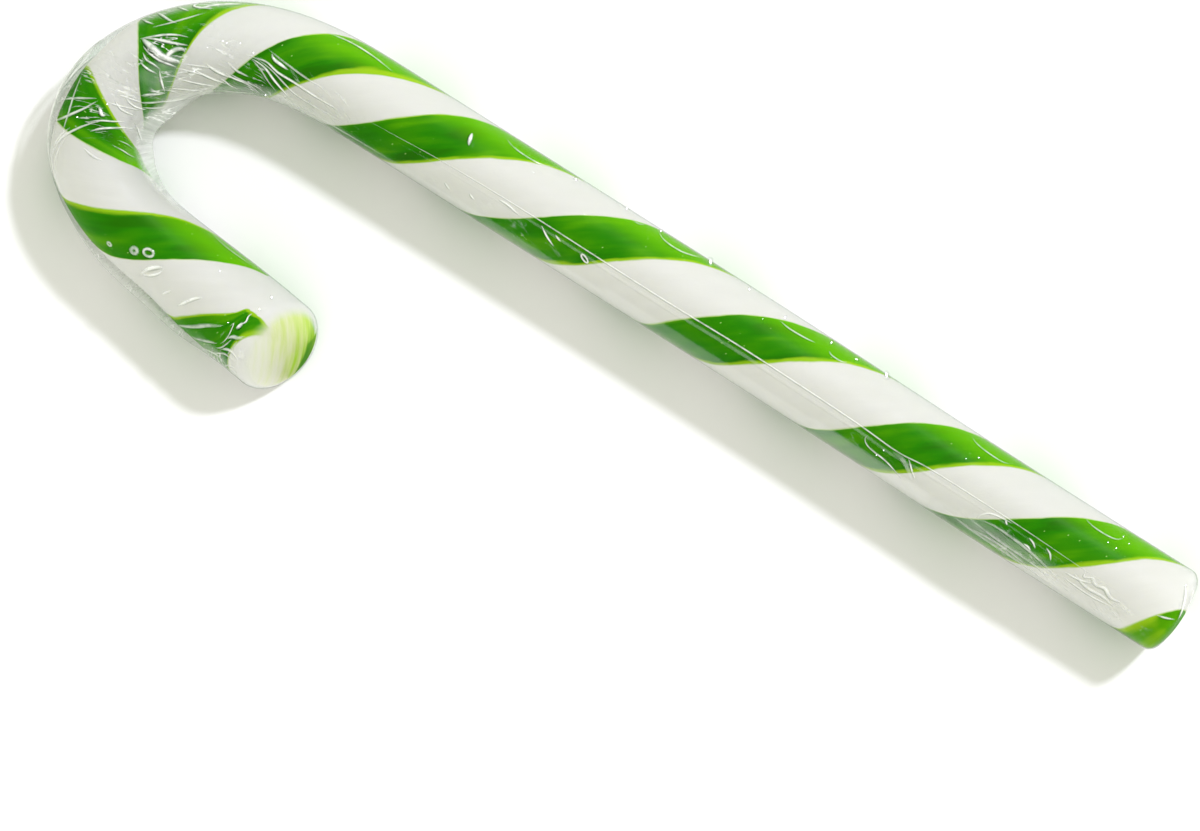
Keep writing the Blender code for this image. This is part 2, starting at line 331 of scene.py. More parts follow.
# Glints are dents that face halfway between the key light and straight up: (place, size in mm). Their
# lift off the film, their bulge, how oval they are and their rings are shares of their size.
GLINT_LIFT = 0.38
GLINT_BULGE = 0.04
GLINT_OVAL = 0.25
GLINT_RINGS = (0.55, 1.0)
GLINT_SIDES = 14
GLINTS = (
    ((91.3, -62), 0.5), ((84.2, -70), 0.42), ((72.1, -64), 1), ((66.3, -62), 0.42), ((60.8, -52), 0.4),
    ((50.7, -59), 0.5), ((54.4, -60), 0.52), ((46.6, -64), 0.95), ((42, 26), 0.3), ((42.4, 38), 0.24),
    ((33.1, -21), 0.2), ((31.8, -32), 0.28), ((13, -30), 0.2), ((11.8, -29), 0.24), ((11.7, -52), 0.24),
    ((10.7, -46), 0.24), ((79.2, -68), 0.36), ((63, -30), 0.14), ((96, -32), 0.16), ((88, -20), 0.14),
    ((2.2, -37), 0.26), ((136.9, -4), 0.2), ((136.4, -2), 0.26), ((134.8, -3), 0.22), ((138.8, 3), 0.22),
    ((133.1, 7), 0.26), ((141, 30), 0.26), ((130.4, 64), 0.5), ((156.5, -22), 0.3), ((153.8, 7), 0.3),
    ((191.5, 42), 0.46), ((187.6, -14), 0.24), ((192.2, 21), 0.24), ((182.3, 26), 0.3),
)
# Where the film lies in several layers: (stations, angles, how much). As with the other regions of the
# film, they fade out over so many mm along and degrees round.
LAYERED_FADE = (2.0, 5.0)
LAYERED = (
    ((5, 35), (41, 110), 0.45),
    ((33, 52), (41, 110), 1.0),
    ((50, 82), (44, 110), 0.55),
    ((80, 103), (54, 110), 0.55),
    ((101, 128), (58, 110), 0.50),
    ((126, 153), (58, 110), 0.80),
    ((140, 151), (-20, 48), 0.30),
    ((150, 164), (40, 110), 0.60),
)
# Milky film, which hides a little of what is under it: (stations, angles, how much).
HAZY_FADE = (4.0, 14.0)
HAZY = (
    ((136, 176), (58, 125), 0.50),
    ((133, 148), (-110, -50), 0.30),
    ((14, 32), (26, 70), 0.25),
    ((142, 162), (-125, -60), 0.40),
    ((163, 186), (-125, -72), 0.30),
    ((118, 150), (45, 100), 0.30),
    ((140, 150), (0, 60), 0.20),
    ((184, 194), (-120, -48), 0.35),
    ((5, 100), (60, 120), 0.12),
)
# The way that small creases run on the film: angle from across the rod, either side of the crook.
CREASE_TURN = (math.radians(68), math.radians(8))
CREASE_SPAN = (138 * MM, 156 * MM)
# Where the film is slack and crumpled: (stations, angles, how deep in mm).
CRUMPLE_FADE = (3.0, 14.0)
CREASE_FADE = (5.0, 20.0)
SLACK = (
    ((116, 138), (8, 110), 0.055),
    ((134, 151), (-32, 110), 0.070),
    ((146, 160), (-75, 110), 0.045),
    ((132, 147), (-95, -45), 0.045),
    ((138, 174), (64, 125), 0.012),
    ((166, 194), (-120, -62), 0.040),
    ((185, 195), (-125, -15), 0.060),
    ((2, 30), (18, 75), 0.035),
    ((30, 50), (24, 70), 0.020),
    ((86, 110), (22, 70), 0.016),
)
MOST_SLACK = 0.070
# The crumples: how many sets of ridges, how far apart the ridges of the finest and of the coarsest set
# are, how far a ridge sways, and how long a sway is, both as shares of that distance.
CRUMPLE_SEED = 7
CRUMPLE_WAVES = 9
CRUMPLE_LENGTHS = (0.9 * MM, 3.0 * MM)
CRUMPLE_SWAY = 0.35
CRUMPLE_SWAY_LENGTH = 2.3
# What the film shows: how much of what is around it, square on, edge on and for each further layer; how
# much of the light it lets through, square on and edge on; the painted shade along a crease and beside a
# fold, as the light that it lets through there; its milkiness; and the white of the folds, which is partly
# creased film and partly painted highlight.
GLOSS_SQUARE_ON = 0.002
GLOSS_EDGE_ON = 0.85
GLOSS_OF_LAYERS = 0.16
CLEAR_SQUARE_ON = (0.985, 0.99, 0.985)
CLEAR_EDGE_ON = (0.30, 0.37, 0.31)
PAINTED_SHADE_ALONG_CREASE = (0.25, 0.34, 0.25)
PAINTED_SHADE_BESIDE_FOLD = (0.22, 0.30, 0.22)
MILK = (0.96, 0.98, 0.95, 1.0)
FOLD_WHITE_AND_HIGHLIGHT = (0.97, 0.99, 0.95, 1.0)
# Sizes of the film's patterns: how many per mm across the creases, and along them.
CREASES = (1.1, 0.20, 0.0)
CREASE_PATCHES = (0.35, 0.25, 1.0)
MILK_CLOUDS = (0.9, 0.16, 0.0)
# White dots on the slack film stand in for its glints: painted highlights.
PAINTED_GLINTS_PER_MM = 0.9

# Table, light and camera, in metres; the lens and its sensor are in mm.
TABLE_HALF = 1.5
TABLE_WHITES = ((0.3, (0.96, 0.96, 0.96)), (0.7, (0.97, 0.97, 0.97)))
TABLE_GRAIN = 40.0
KEY_AZIMUTH = math.radians(73)
KEY_ELEVATION = math.radians(45)
KEY_STRENGTH = 1.88
KEY_ANGLE = math.radians(5.5)
FILL_STRENGTH = 0.78
FILL_COLOUR = (1.0, 1.0, 0.89)
KEY_COLOUR = (1.0, 1.0, 1.10)
CARD_SIZE = (1.0, 0.35)
CARD_DISTANCE = 0.9
CARD_ELEVATION = math.radians(11)
CARD_RADIANCE = 0.9
CAMERA_TURN = math.radians(32.3)
CAMERA_AIM = (1.82 * MM, -1.66 * MM)
CAMERA_LENS = 180.0
CAMERA_SENSOR = 36.0
CAMERA_NEAR = 0.01
VIEW_WIDTH = 146.67 * MM


def ease(value, span):
    """0 before the span, 1 after it, and a smooth rise between."""
    share = np.clip((value - span[0]) / (span[1] - span[0]), 0.0, 1.0)
    return share * share * (3.0 - 2.0 * share)


def within(value, span, fade):
    """0 outside the span and 1 inside it, once past a border of the width of the fade."""
    return ease(value, (span[0], span[0] + fade)) * (1 - ease(value, (span[1] - fade, span[1])))


def eased_sum(station, steps):
    """The degrees of all the (first, last, degrees) steps that a station has passed, in radians."""
    return sum(math.radians(degrees) * ease(station, (first, last)) for first, last, degrees in steps)


def heading(station):
    """Direction of travel along the middle line, in radians from +X."""
    return math.pi + eased_sum(station, BENDS)


def twist(station):
    """Angle by which the straight rod's section is turned at a station, in radians."""
    return TWIST_AT_SHAFT_END + TWIST_PER_METRE * station + eased_sum(station, CROOK_TWISTS)


def middle_line():
    """Stations with the x and y of the rod's middle there, before it is put in its place."""
    stations = np.arange(0.0, ROD_LENGTH + PATH_STEP, PATH_STEP)
    middle_of_step = heading(stations[:-1] + PATH_STEP / 2)
    x = np.concatenate(([0.0], np.cumsum(np.cos(middle_of_step)) * PATH_STEP))
    y = np.concatenate(([0.0], np.cumsum(np.sin(middle_of_step)) * PATH_STEP))
    return stations, x, y


BOX_LOW, BOX_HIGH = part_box(CANE)
ROD_RADIUS = (BOX_HIGH[2] - BOX_LOW[2] + FLAT_DEPTH) / 2
LINE_STATIONS, LINE_X, LINE_Y = middle_line()
LINE_X = LINE_X + BOX_HIGH[0]
LINE_Y = LINE_Y + BOX_HIGH[1] - ROD_RADIUS - LINE_Y.max()


def web_lift(station, angle):
    """How many times further out than the candy the film is."""
    lift = np.ones(np.broadcast(station, angle).shape)
    for edge_angle, reach, rise, fall in WEBS:
        height = reach * (ease(station, rise) - ease(station, fall))
        half_wedge = np.arccos(ROD_RADIUS / (ROD_RADIUS + height))
        turn = angle - edge_angle
        from_edge = np.abs(turn - math.tau * np.round(turn / math.tau))
        lift = lift / np.cos(np.maximum(0.0, half_wedge - from_edge))
    return lift


def place(station, angle, radius, lowest=0.0):
    """Points of the cane at a station, an angle round the section and a distance from its middle."""
    swell = 1 + LEG_SWELL * ease(station, LEG_SWELL_SPAN)
    inward = np.sin(angle) * radius * swell
    up = np.cos(angle) * radius
    forward = -up * math.tan(LEG_CUT_LEAN) * ease(station, LEG_CUT_SPAN)
    along = heading(station)
    x = np.interp(station, LINE_STATIONS, LINE_X) + forward * np.cos(along) - inward * np.sin(along)
    y = np.interp(station, LINE_STATIONS, LINE_Y) + forward * np.sin(along) + inward * np.cos(along)
    z = np.maximum(lowest, ROD_RADIUS - FLAT_DEPTH + up)
    return np.stack((x, y, z), axis=-1)


def end_profile(depth):
    """(distance from the pole, share of the radius) for the rings of a blunt domed end."""
    angle = np.linspace(POLE_ANGLE, math.pi / 2, END_RINGS, endpoint=False)
    across = np.sin(angle) ** (2 / END_SQUARENESS)
    along = 1 - np.cos(angle) ** (2 / END_SQUARENESS)
    return depth * along, across


def rod_profile(inset, rings):
    """Stations and radii of the rod's rings, pole to pole, so much inside the film's outside."""
    start_along, start_share = end_profile(SHAFT_END_DEPTH)
    tip_along, tip_share = end_profile(LEG_END_DEPTH)
    body = np.linspace(SHAFT_END_DEPTH, ROD_LENGTH - LEG_END_DEPTH, rings)
    stations = np.concatenate((start_along, body, ROD_LENGTH - tip_along[::-1]))
    shares = np.concatenate((start_share, np.ones(rings), tip_share[::-1]))
    stations = inset + stations * (ROD_LENGTH - 2 * inset) / ROD_LENGTH
    return stations, shares * (ROD_RADIUS - inset)


def grid_faces(rings, columns, first=0, closed=True):
    """Quads between neighbouring rings of points, wound so that they face out."""
    faces = []
    for ring in range(rings - 1):
        for column in range(columns if closed else columns - 1):
            beside = (column + 1) % columns
            low = first + ring * columns
            high = low + columns
            faces.append((low + column, high + column, high + beside, low + beside))
    return faces


def add_object(name, data):
    thing = bpy.data.objects.new(name, data)
    bpy.context.scene.collection.objects.link(thing)
    return thing


def add_piece(name, points, faces, material):
    """A smooth-shaded mesh piece that rides with the cane and stands for its CAD node."""
    mesh = bpy.data.meshes.new(name)
    mesh.from_pydata([tuple(point) for point in points], [], faces)
    mesh.update()
    mesh.shade_smooth()
    mesh.materials.append(material)
    piece = add_object(name, mesh)
    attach(piece, BODY)
    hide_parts(CANE)
    return piece


def add_attribute(piece, name, values):
    """Gives each point of the piece a number, or a vector."""
    values = np.asarray(values, dtype=np.float32).ravel()
    is_vector = len(values) > len(piece.data.vertices)
    attribute = piece.data.attributes.new(name, "FLOAT_VECTOR" if is_vector else "FLOAT", "POINT")
    attribute.data.foreach_set("vector" if is_vector else "value", values)


class Nodes:
    """Short-hand for building a material's node tree."""

    def __init__(self, name):
        self.material = bpy.data.materials.new(name)
        self.material.use_nodes = True
        self.tree = self.material.node_tree
        self.tree.nodes.clear()
        self.output = self.tree.nodes.new("ShaderNodeOutputMaterial")

    def add(self, kind, inputs=None, **settings):
        node = self.tree.nodes.new(kind)
        for setting, value in settings.items():
            setattr(node, setting, value)
        for key, value in (inputs or {}).items():
            self.feed(node.inputs[key], value)
        return node

    def feed(self, socket, value):
        if isinstance(value, bpy.types.NodeSocket):
            self.tree.links.new(value, socket)
        else:
            socket.default_value = value

    def math(self, operation, *values, clamp=False):
        node = self.add("ShaderNodeMath", operation=operation, use_clamp=clamp)
        for socket, value in zip(node.inputs, values):
            self.feed(socket, value)
        return node.outputs[0]

    def attribute(self, name, output="Fac"):
        return self.add("ShaderNodeAttribute", attribute_name=name).outputs[output]

    def noise(self, vector, scale, detail=3.0):
        """Noise, finer by one scale for every axis or by a scale for each."""
        if isinstance(scale, tuple):
            stretch = self.add("ShaderNodeVectorMath", {0: vector, 1: scale}, operation="MULTIPLY")
            vector, scale = stretch.outputs[0], 1.0
        inputs = {"Vector": vector, "Scale": scale, "Detail": detail}
        return self.add("ShaderNodeTexNoise", inputs).outputs["Fac"]

    def ramp(self, factor, stops):
        node = self.add("ShaderNodeValToRGB", {"Fac": factor})
        ramp = node.color_ramp
        while len(ramp.elements) < len(stops):
            ramp.elements.new(1.0)
        for element, (position, colour) in zip(ramp.elements, stops):
            element.position = position
            element.color = (*colour, 1.0)
        return node.outputs["Color"]

    def spread(self, value, low, high, new_low=0.0, new_high=1.0):
        inputs = {"Value": value, 1: low, 2: high, 3: new_low, 4: new_high}
        node = self.add("ShaderNodeMapRange", inputs, interpolation_type="SMOOTHSTEP")
        return node.outputs["Result"]

    def spots(self, vector, per_mm, size, chosen):
        """Small round spots with soft rims, in only some of the cells of a scattered grid."""
        cells = self.add("ShaderNodeTexVoronoi", {"Vector": vector, "Scale": per_mm})
        spot = self.spread(cells.outputs["Distance"], *size, 1.0, 0.0)
        return self.math("MULTIPLY", spot, self.spread(cells.outputs["Color"], *chosen))

    def mix(self, factor, first, second):
        node = self.add("ShaderNodeMix", data_type="RGBA")
        self.feed(node.inputs["Factor"], factor)
        for socket, value in ((node.inputs[6], first), (node.inputs[7], second)):
            self.feed(socket, value if isinstance(value, bpy.types.NodeSocket) else (*value, 1.0))
        return node.outputs[2]

    def finish(self, shader):
        self.tree.links.new(shader, self.output.inputs["Surface"])
        return self.material


def white_part(nodes, rod):
    """The white candy's colour, with painted light: darker on the flank that faces the key light."""
    white = nodes.ramp(nodes.noise(rod, WHITE_CLOUDS), WHITES)
    return nodes.mix(nodes.attribute("painted_key_side"), white, PAINTED_KEY_SIDE_WHITE)


def green_part(nodes, rod, edge):
    """The green candy's colour: blotched and streaked, with specks, and yellower towards its edges, with
    painted light that makes it paler and yellower on the flank that faces the key light.
    """
    blotch = nodes.noise(rod, GREEN_BLOTCHES, detail=2.0)
    streak = nodes.noise(rod, GREEN_STREAKS)
    depth = nodes.math("ADD", nodes.math("MULTIPLY", blotch, 0.84), nodes.math("MULTIPLY", streak, 0.16))
    green = nodes.mix(nodes.attribute("painted_key_side"), nodes.ramp(depth, GREENS), PAINTED_KEY_SIDE_GREEN)

    fringe_noise = nodes.noise(rod, FRINGE_CHANGES, detail=2.0)
    fringe_width = nodes.math("MULTIPLY_ADD", nodes.attribute("edge_side"), 0.026, 0.007)
    fringe_width = nodes.math("MULTIPLY", fringe_width, nodes.math("MULTIPLY", fringe_noise, 2.2))
    bleed = nodes.math("MULTIPLY_ADD", nodes.attribute("bleed"), 3.5, 1.0)
    in_green = nodes.math("DIVIDE", edge, nodes.math("MULTIPLY", fringe_width, bleed))
    green = nodes.mix(nodes.spread(in_green, 0.8, 2.4, 0.9, 0.0), green, FRINGE_GREEN)

    return nodes.mix(nodes.spots(rod, SPECKS_PER_MM, (0.05, 0.11), (0.62, 0.66)), green, SPECK_GREEN)


def core_part(nodes):
    """The colour of the leg's cut face, with its pulled fibres and its low rim."""
    cut_place = nodes.attribute("cut_place", "Vector")
    on_cut = nodes.add("ShaderNodeSeparateXYZ", {"Vector": cut_place})
    fibre = nodes.noise(cut_place, CORE_FIBRES)
    fibre = nodes.math("SUBTRACT", fibre, 0.5)
    depth = nodes.math("MULTIPLY_ADD", fibre, 2.4, on_cut.outputs["X"])
    core = nodes.ramp(nodes.spread(depth, -1.5, 1.5), CORES)
    low_rim = nodes.math("MULTIPLY_ADD", fibre, 0.5, on_cut.outputs["Z"])
    return nodes.mix(nodes.spread(low_rim, 0.44, 0.64), core, CORE_RIM)


def candy_material():
    nodes = Nodes("striped_candy")
    rod = nodes.attribute("rod", "Vector")
    ragged = nodes.noise(rod, RAGGED_EDGES, detail=4.0)
    ragged = nodes.math("MULTIPLY_ADD", ragged, 0.08, -0.04)
    edge = nodes.math("ADD", nodes.attribute("stripe"), ragged)
    on_green = nodes.spread(edge, -0.022, 0.022)
    colour = nodes.mix(on_green, white_part(nodes, rod), green_part(nodes, rod, edge))
    colour = nodes.mix(nodes.spread(nodes.attribute("cut"), 0.01, 0.22), colour, core_part(nodes))

    pits = nodes.noise(rod, PITS, detail=2.0)
    bump = nodes.add("ShaderNodeBump", {"Height": pits, "Strength": 0.15, "Distance": 0.1 * MM})
    shader = nodes.add(
        "ShaderNodeBsdfPrincipled",
        {
            "Base Color": colour,
            "Roughness": 0.5,
            "Specular IOR Level": 0.03,
            "Subsurface Weight": nodes.math("MULTIPLY_ADD", on_green, -0.75, 1.0),
            "Subsurface Radius": (1.0, 1.0, 0.8),
            "Subsurface Scale": GLOW_DEPTH,
            "Normal": bump.outputs["Normal"],
        },
    )
    return nodes.finish(shader.outputs["BSDF"])


def stripe_turn(stations, angles):
    """Angle round the rod from the middle of a stripe, for every station and angle."""
    half = STRIPE_WIDTH / 2
    phases = [side - math.pi * stripe for stripe in range(len(STRIPE_EDGES)) for side in (half, -half)]
    crossings = np.array(STRIPE_EDGES).reshape(-1, len(EDGE_ANGLES)) * MM
    curve = np.polynomial.polynomial.polyfit(EDGE_ANGLES, crossings.T, 2)
    turns = []
    for angle in np.degrees(np.arctan2(np.sin(angles), np.cos(angles))):
        even = math.radians(angle) - twist(stations) + TIP_UNTWIST * ease(stations, TIP_UNTWIST_SPAN)
        near = np.clip(angle, -EDGES_HOLD[0], EDGES_HOLD[0])
        places = np.polynomial.polynomial.polyval(near, curve)
        places = places + (angle - near) * np.polynomial.polynomial.polyval(near, curve[1:] * [[1], [2]])
        wandered = np.interp(stations, places, phases)
        turns.append(wandered + (even - wandered) * ease(abs(angle), EDGES_HOLD))
    return np.stack(turns, axis=1)


def candy_attributes(stations, radii, angles, radius):
    """What the candy's material needs to know at each of its points, by name."""
    station, angle = np.meshgrid(stations, angles, indexing="ij")
    turn = stripe_turn(stations, angles)
    stripe = np.abs(np.cos(turn)) - math.cos(STRIPE_WIDTH / 2)
    past_end = np.arctan2(np.sin(angle), np.cos(angle)) - STRIPE_END
    ends_here = (station > LAST_STRIPE_FROM) & (past_end < STRIPE_END_REACH)
    end = -STRIPE_END_SLOPE * past_end
    rounded = (stripe + end - np.sqrt((stripe - end) ** 2 + STRIPE_END_ROUND)) / 2
    share = np.repeat(radii[:, None], CANDY_COLUMNS, axis=1) / (ROD_RADIUS - CANDY_INSET)
    across_cut = share * (np.sin(angle) - np.cos(angle))
    along_cut = share * (np.sin(angle) + np.cos(angle))
    lowness = share * (CORE_RIM_SIDE[0] * np.sin(angle) + CORE_RIM_SIDE[1] * np.cos(angle))
    return {
        "rod": np.stack((np.cos(turn) * radius, np.sin(turn) * radius, station), axis=-1) / MM,
        "stripe": np.where(ends_here, rounded, stripe),
        "edge_side": 0.5 + 0.5 * np.sin(2 * turn),
        "bleed": amount_from(BLEEDS, station, angle, BLEED_FADE),
        "cut": np.where(station > ROD_LENGTH / 2, 1 - share, 0.0),
        "cut_place": np.stack((across_cut, along_cut, lowness), axis=-1),
    }


def build_candy():
    stations, radii = rod_profile(CANDY_INSET, CANDY_RINGS)
    angles = np.linspace(0.0, math.tau, CANDY_COLUMNS, endpoint=False)
    station, angle = np.meshgrid(stations, angles, indexing="ij")
    radius = np.repeat(radii[:, None], CANDY_COLUMNS, axis=1)
    for side, depth, start, end in HOLLOWS:
        towards = np.maximum(0.0, np.cos(angle - side)) ** 2
        radius = radius - depth * towards * (ease(station, start) - ease(station, end))
    points = place(station, angle, radius, lowest=CANDY_INSET)
    faces = grid_faces(len(stations), CANDY_COLUMNS)
    last = (len(stations) - 1) * CANDY_COLUMNS
    faces.append(tuple(range(CANDY_COLUMNS)))
    faces.append(tuple(reversed(range(last, last + CANDY_COLUMNS))))
    candy = add_piece("candy", points.reshape(-1, 3), faces, candy_material())
    for name, values in candy_attributes(stations, radii, angles, radius).items():
        add_attribute(candy, name, values)
    # Painted light: the flank whose normal turns towards the key light's bearing gets the key-side colours.
    normals = np.array([tuple(vertex.normal) for vertex in candy.data.vertices])
    sideways = normals @ np.array((math.cos(KEY_AZIMUTH), math.sin(KEY_AZIMUTH), 0.0))
    add_attribute(candy, "painted_key_side", PAINTED_KEY_SIDE_SHARE * ease(sideways, PAINTED_KEY_SIDE_SPAN))


def line_along(nodes, waves, level, low, high, strength):
    """A thin line wherever the waves pass a level."""
    distance = nodes.math("ABSOLUTE", nodes.math("SUBTRACT", waves, level))
    return nodes.spread(distance, low, high, strength, 0.0)


def film_material():
    """Clear film: it mirrors at its edges and where it is layered, and it is white where it is milky. Along
    its small creases it is white, partly as creased film and partly as painted highlight, with painted shade
    beside them, and it has white dots of painted glints where it is slack."""
    nodes = Nodes("clear_film")
    facing = nodes.add("ShaderNodeLayerWeight", {"Blend": 0.5}).outputs["Facing"]
    share = nodes.math("MULTIPLY_ADD", nodes.math("POWER", facing, 6.0), GLOSS_EDGE_ON, GLOSS_SQUARE_ON)
    share = nodes.math("MULTIPLY_ADD", nodes.attribute("layers"), GLOSS_OF_LAYERS, share, clamp=True)

    where = nodes.attribute("crease_place", "Vector")
    slack = nodes.attribute("slack")
    waves = nodes.noise(where, CREASES)
    patches = nodes.spread(nodes.noise(where, CREASE_PATCHES, detail=2.0), 0.45, 0.62)
    gathered = nodes.math("MULTIPLY", slack, patches)
    # Painted highlight and painted shade: a white line along each small crease, partly creased film, and
    # darker clear film just beside it.
    ridge = nodes.math("MULTIPLY", gathered, line_along(nodes, waves, 0.500, 0.003, 0.022, 0.9))
    painted_crease_shade = nodes.math("MULTIPLY", gathered, line_along(nodes, waves, 0.528, 0.004, 0.022, 0.4))
    clouds = nodes.spread(nodes.noise(where, MILK_CLOUDS, detail=4.0), 0.32, 0.68)
    clouds = nodes.math("MULTIPLY_ADD", clouds, 0.35, 0.5)
    haze = nodes.math("MULTIPLY", nodes.attribute("haze"), clouds)
    # Painted glints: white dots on the slack film.
    painted_glints = nodes.spots(where, PAINTED_GLINTS_PER_MM, (0.05, 0.10), (0.66, 0.70))
    white = nodes.math("MAXIMUM", ridge, nodes.math("MULTIPLY", painted_glints, slack))
    white = nodes.math("ADD", white, haze, clamp=True)

    tint = nodes.mix(nodes.math("POWER", facing, 4.0), CLEAR_SQUARE_ON, CLEAR_EDGE_ON)
    tint = nodes.mix(painted_crease_shade, tint, PAINTED_SHADE_ALONG_CREASE)
    clear = nodes.add("ShaderNodeBsdfTransparent", {"Color": tint})
    blur = nodes.math("MULTIPLY_ADD", nodes.attribute("sharpness"), -0.14, 0.26)
    gloss = nodes.add("ShaderNodeBsdfGlossy", {"Color": (1.0, 1.0, 1.0, 1.0), "Roughness": blur})
    milk = nodes.add("ShaderNodeBsdfDiffuse", {"Color": MILK})
    film = nodes.add("ShaderNodeMixShader", {0: share, 1: clear.outputs[0], 2: gloss.outputs[0]})
    film = nodes.add("ShaderNodeMixShader", {0: white, 1: film.outputs[0], 2: milk.outputs[0]})
    return nodes.finish(film.outputs[0])


def film_radius(station, angle):
    """The film's distance from the middle line."""
    to_end = np.minimum(station / SHAFT_END_DEPTH, (ROD_LENGTH - station) / LEG_END_DEPTH)
    along = 1 - np.clip(to_end, 0.0, 1.0)
    share = (1 - along ** END_SQUARENESS) ** (1 / END_SQUARENESS)
    return ROD_RADIUS * share * web_lift(station, angle)


def amount_from(regions, station, angle, fade):
    """The largest amount of the (stations, angles, amount) regions that each place lies in. A region
    fades out inside its borders, over so many mm along and degrees round."""
    degrees = np.degrees(angle)
    degrees = degrees - 360 * np.round(degrees / 360)
    most = np.zeros(station.shape)
    for stations, angles, amount in regions:
        along = within(station / MM, stations, fade[0])
        most = np.maximum(most, amount * along * within(degrees, angles, fade[1]))
    return most


def crumple(station, angle):
    """A surface of sharp ridges that run in many directions, from 0 to 1."""
    random = np.random.default_rng(CRUMPLE_SEED)
    sum_of_ridges = np.zeros(station.shape)
    for length in np.geomspace(*CRUMPLE_LENGTHS, CRUMPLE_WAVES):
        direction = random.uniform(0.0, math.pi)
        phase = random.uniform(0.0, math.tau)
        across = station * math.cos(direction) + angle * ROD_RADIUS * math.sin(direction)
        along = station - across
        sway = CRUMPLE_SWAY * np.sin(math.tau * along / (CRUMPLE_SWAY_LENGTH * length) + 2 * phase)
        sum_of_ridges += (1 - np.abs(np.sin(math.pi * across / length + phase + sway))) * length
    return sum_of_ridges / sum_of_ridges.max()


def crease_place(station, angle):
    """Places on the film, in mm across and along the way that its small creases run."""
    start, end = CREASE_TURN
    turn = start + (end - start) * ease(station, CREASE_SPAN)
    along_rod = station - sum(CREASE_SPAN) / 2
    round_rod = np.arctan2(np.sin(angle), np.cos(angle)) * ROD_RADIUS
    across = along_rod * np.cos(turn) + round_rod * np.sin(turn)
    along = round_rod * np.cos(turn) - along_rod * np.sin(turn)
    return np.stack((across, along, np.zeros_like(across)), axis=-1) / MM


def film_relief(station, angle):
    """How far the film's folds and crumples lift it off the candy."""
    relief = amount_from(SLACK, station, angle, CRUMPLE_FADE) * MM * crumple(station, angle)
    turn = angle - math.tau * np.round(angle / math.tau)
    for width, strength, places in SHAFT_FOLDS + CROOK_FOLDS + LEG_FOLDS:
        path = smooth_path(places)
        reach = RELIEF_REACH * width * MM
        low, high = path.min(axis=0) - reach, path.max(axis=0) + reach
        across = turn * ROD_RADIUS
        near = (station > low[0]) & (station < high[0]) & (across > low[1]) & (across < high[1])
        if not near.any():
            continue
        spots = np.stack((station[near], across[near]), axis=-1)
        distance = np.sqrt(((spots[:, None, :] - path[None, :, :]) ** 2).sum(axis=2).min(axis=1))
        height = RELIEF_HEIGHT * strength * width * MM
        ridge = height * np.exp(-((distance / (RELIEF_BREADTH * width * MM)) ** 2))
        relief[near] = np.maximum(relief[near], ridge)
    return relief


def build_film(material):
    for name, span, rings, columns in FILM_PARTS:
        angles = np.linspace(0.0, math.tau, columns, endpoint=False)
        station, angle = np.meshgrid(np.linspace(*span, rings), angles, indexing="ij")
        points = place(station, angle, film_radius(station, angle) + film_relief(station, angle))
        film = add_piece(name, points.reshape(-1, 3), grid_faces(rings, columns), material)
        add_attribute(film, "layers", amount_from(LAYERED, station, angle, LAYERED_FADE))
        add_attribute(film, "haze", amount_from(HAZY, station, angle, HAZY_FADE))
        add_attribute(film, "slack", amount_from(SLACK, station, angle, CREASE_FADE) / MOST_SLACK)
        add_attribute(film, "crease_place", crease_place(station, angle))


def smooth_path(places):
    """A smooth curve through places on the film, as distances along and round the rod."""
    knots = np.array([(station * MM, math.radians(degrees) * ROD_RADIUS) for station, degrees in places])
    knots = np.vstack((2 * knots[0] - knots[1], knots, 2 * knots[-1] - knots[-2]))
    curve = []
    for before, start, end, after in zip(knots, knots[1:], knots[2:], knots[3:]):
        count = max(3, math.ceil(np.linalg.norm(end - start) / FOLD_STEP))
        share = np.linspace(0.0, 1.0, count, endpoint=False)[:, None]
        bend = 2 * before - 5 * start + 4 * end - after
        swing = -before + 3 * start - 3 * end + after
        curve.append(start + 0.5 * share * (end - before + share * (bend + share * swing)))
    return np.vstack((*curve, knots[-2]))


def blister_path(place_on_film, half_length, half_breadth, turn):
    """A closed oval round a place on the film."""
    around = np.linspace(0.0, math.tau, BLISTER_POINTS)
    along = half_length * MM * np.cos(around)
    across = half_breadth * MM * np.sin(around)
    cosine = math.cos(math.radians(turn))
    sine = math.sin(math.radians(turn))
    station, degrees = place_on_film
    middle = np.array((station * MM, math.radians(degrees) * ROD_RADIUS))
    return middle + np.stack((along * cosine - across * sine, along * sine + across * cosine), axis=-1)


def fold_strip(path, width, tapered=True):
    """Rows of points of a low ridge that follows a path on the film, how white it is at each point,
    and how dark the line beside it is, on its side away from the key light."""
    direction = np.gradient(path, axis=0)
    direction /= np.linalg.norm(direction, axis=1)[:, None]
    across = np.stack((-direction[:, 1], direction[:, 0]), axis=-1)
    share = np.linspace(0.0, 1.0, len(path))
    size = np.sqrt(np.sin(math.pi * share)) if tapered else np.ones(len(path))
    size = np.maximum(size, FOLD_LEAST)
    profile = np.array(FOLD_PROFILE)
    spot = path[:, None, :] + across[:, None, :] * (size[:, None] * profile * width / 2)[:, :, None]
    station = np.clip(spot[:, :, 0], FOLD_END, ROD_LENGTH - FOLD_END)
    angle = spot[:, :, 1] / ROD_RADIUS
    height = FILM_LIFT + FOLD_HEIGHT * width * size[:, None] * np.maximum(0.0, 1 - profile**2)
    rows = place(station, angle, film_radius(station, angle) + height)
    crossing = rows[:, -1, :2] - rows[:, 0, :2]
    crossing /= np.linalg.norm(crossing, axis=1)[:, None]
    towards_key = crossing @ np.array((math.cos(KEY_AZIMUTH), math.sin(KEY_AZIMUTH)))
    # The white is partly creased film and partly painted highlight; the dark line beside it is painted
    # shade.
    white = size[:, None] * np.maximum(0.0, 1 - profile**4)
    away = np.maximum(0.0, -towards_key[:, None] * np.sign(profile))
    shade = size[:, None] * away * np.exp(-(((np.abs(profile) - SHADE_AT) / SHADE_BREADTH) ** 2))
    return rows, white, shade


